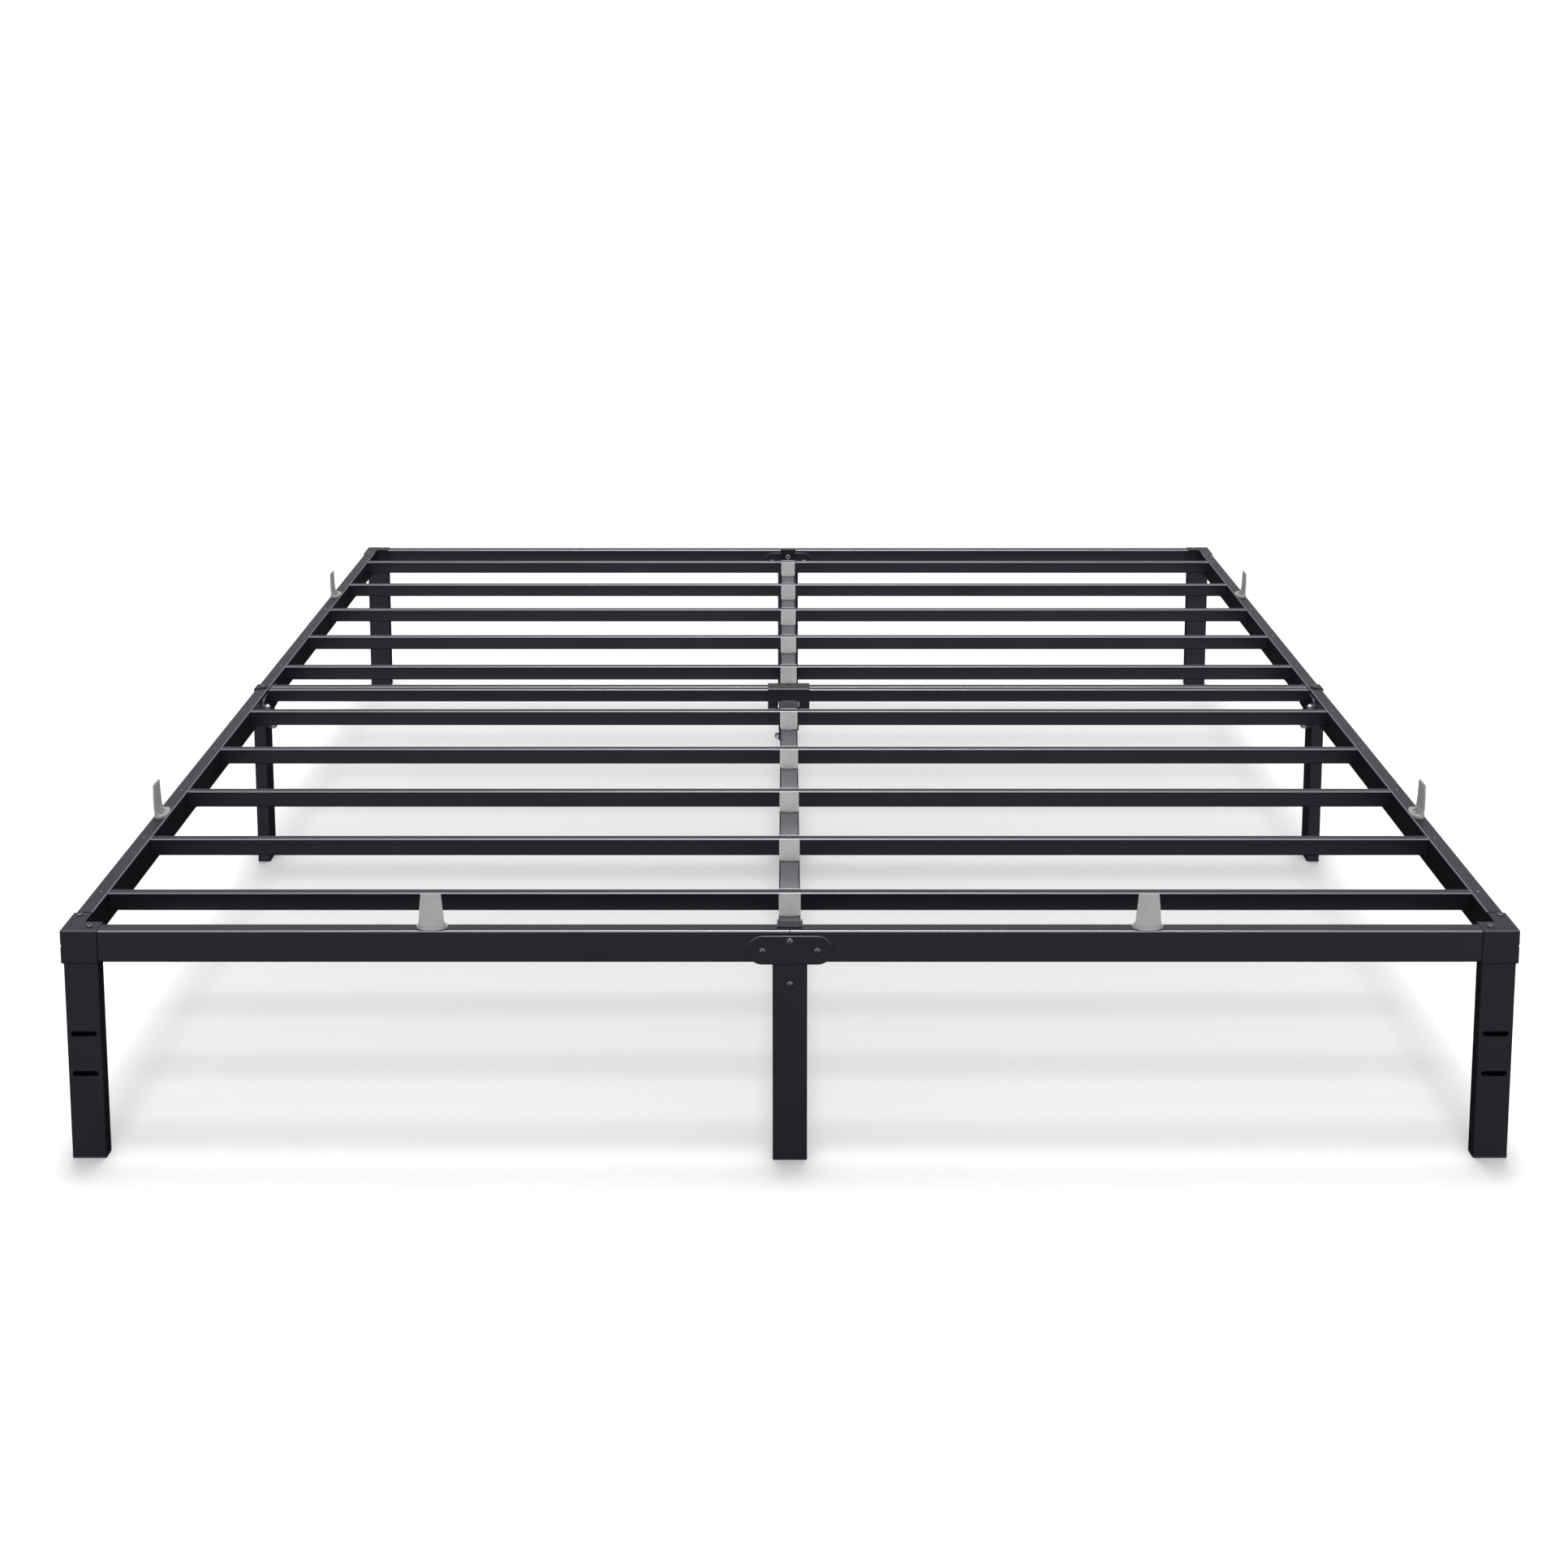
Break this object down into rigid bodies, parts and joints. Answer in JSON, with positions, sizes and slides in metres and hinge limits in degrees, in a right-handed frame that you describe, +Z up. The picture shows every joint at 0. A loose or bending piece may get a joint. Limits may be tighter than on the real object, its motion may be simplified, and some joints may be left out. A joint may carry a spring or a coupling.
{
  "type": "bed_frame",
  "caption": "Black steel platform bed frame for a king mattress: tube rails, slats in plastic clips on a centre beam, bolted legs and push-in mattress retainers",
  "frame": {"origin": "on the floor under the middle of the bed, at the bottom of the centre leg's foot cap", "axes": "+X to the right-hand side seen from the head end, +Y from the head end (slotted corner legs) to the foot end, +Z up"},
  "size_m": [1.9368, 2.0384, 0.371],
  "materials": {
    "rail_paint": "fine-textured satin black powder coat on rails and crossbars",
    "beam_paint": "smoother, glossier charcoal coat on the centre beam, which reads lighter than the rails",
    "slat_paint": "fine-textured satin black powder coat on slat tubes",
    "leg_paint": "fine-textured satin black powder coat on leg tubes",
    "bracket_paint": "slightly duller black powder coat on welded plate brackets",
    "clip_plastic": "matte light grey moulded plastic",
    "retainer_plastic": "matte light grey moulded plastic",
    "foot_plastic": "matte black moulded plastic",
    "black_fasteners": "black zinc button heads with a hex socket",
    "zinc_nuts": "bright zinc-plated hex nuts"
  },
  "bodies": {
    "root": {"corner_bracket_head_left": "bracket_paint", "corner_leg_head_left": "leg_paint", "corner_bracket_head_right": "bracket_paint", "corner_leg_head_right": "leg_paint", "corner_bracket_foot_left": "bracket_paint", "corner_leg_foot_left": "leg_paint", "corner_bracket_foot_right": "bracket_paint", "corner_leg_foot_right": "leg_paint", "rail_bracket_head": "bracket_paint", "mid_leg_head": "leg_paint", "rail_bracket_foot": "bracket_paint", "mid_leg_foot": "leg_paint", "rail_bracket_left": "bracket_paint", "mid_leg_left": "leg_paint", "rail_bracket_right": "bracket_paint", "mid_leg_right": "leg_paint", "beam_joint_bracket": "bracket_paint", "center_leg": "leg_paint", "head_rail_left": "rail_paint", "side_rail_left_head": "rail_paint", "head_rail_right": "rail_paint", "side_rail_right_head": "rail_paint", "foot_rail_left": "rail_paint", "side_rail_left_foot": "rail_paint", "foot_rail_right": "rail_paint", "side_rail_right_foot": "rail_paint", "slat_01_left": "slat_paint", "slat_01_right": "slat_paint", "slat_02_left": "slat_paint", "slat_02_right": "slat_paint", "slat_03_left": "slat_paint", "slat_03_right": "slat_paint", "slat_04_left": "slat_paint", "slat_04_right": "slat_paint", "slat_05_left": "slat_paint", "slat_05_right": "slat_paint", "slat_06_left": "slat_paint", "slat_06_right": "slat_paint", "slat_07_left": "slat_paint", "slat_07_right": "slat_paint", "slat_08_left": "slat_paint", "slat_08_right": "slat_paint", "slat_09_left": "slat_paint", "slat_09_right": "slat_paint", "slat_10_left": "slat_paint", "slat_10_right": "slat_paint", "crossbar_head": "rail_paint", "crossbar_foot": "rail_paint", "crossbar_connector": "bracket_paint", "center_beam_head": "beam_paint", "center_beam_foot": "beam_paint", "beam_hooks": "bracket_paint", "slat_clips": "clip_plastic", "mattress_retainers": "retainer_plastic", "foot_caps": "foot_plastic", "top_screws": "black_fasteners", "bracket_bolts": "black_fasteners", "beam_joint_bolts": "black_fasteners", "lock_nuts": "zinc_nuts"}
  },
  "joints": []
}
